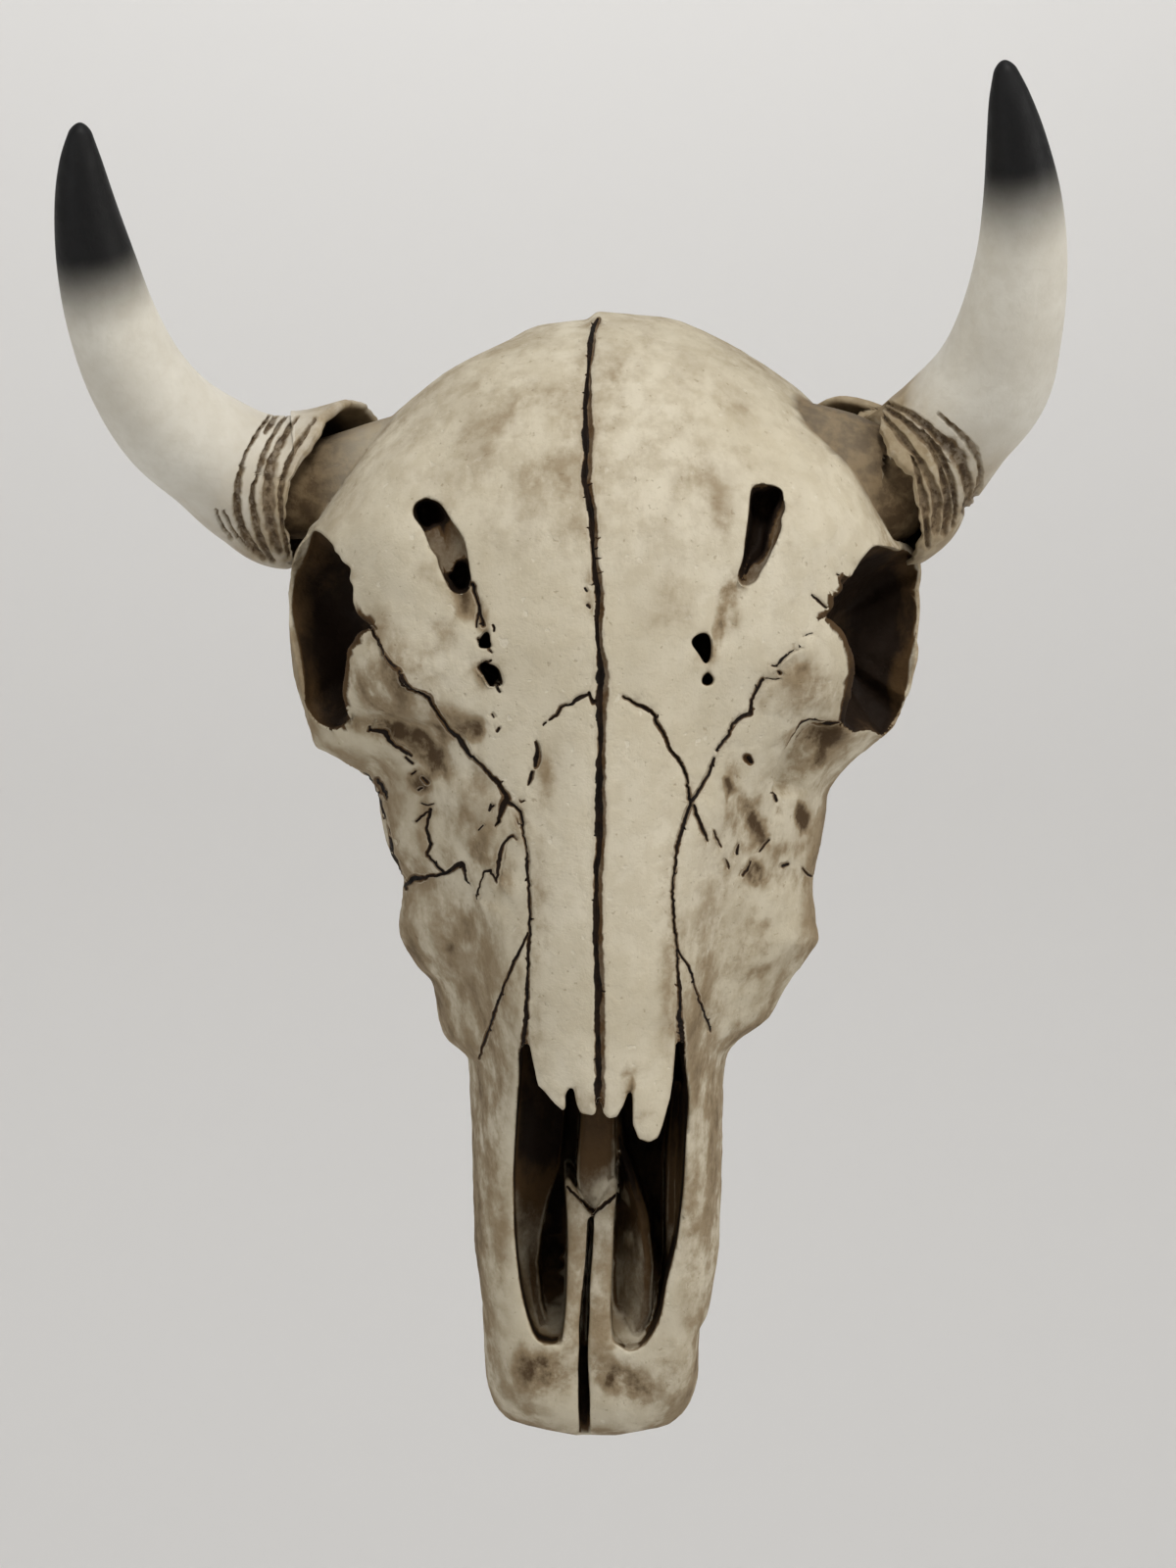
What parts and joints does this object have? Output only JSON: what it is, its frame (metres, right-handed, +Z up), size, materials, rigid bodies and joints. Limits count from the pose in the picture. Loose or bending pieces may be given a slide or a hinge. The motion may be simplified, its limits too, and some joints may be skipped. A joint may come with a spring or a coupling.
{
  "type": "carved cow skull",
  "caption": "Wall-hung cow skull with a domed brow, open eye sockets, a long open nose, a middle seam and curved ridged horns with dark tips.",
  "frame": {"origin": "on the flat back, on the middle line, level with the eye sockets", "axes": "-Y out of the wall through the face, +X the viewer's right, +Z up towards the crown"},
  "size_m": [0.2529, 0.1169, 0.3551],
  "materials": {
    "bone": "matt bone cream with brown wash in the grooves and hollows",
    "horn": "satin cream that fades to near-black at the tips, with brown ridges at the base"
  },
  "bodies": {
    "root": {"skull": "bone", "horn_left": "horn", "horn_right": "horn"}
  },
  "joints": []
}
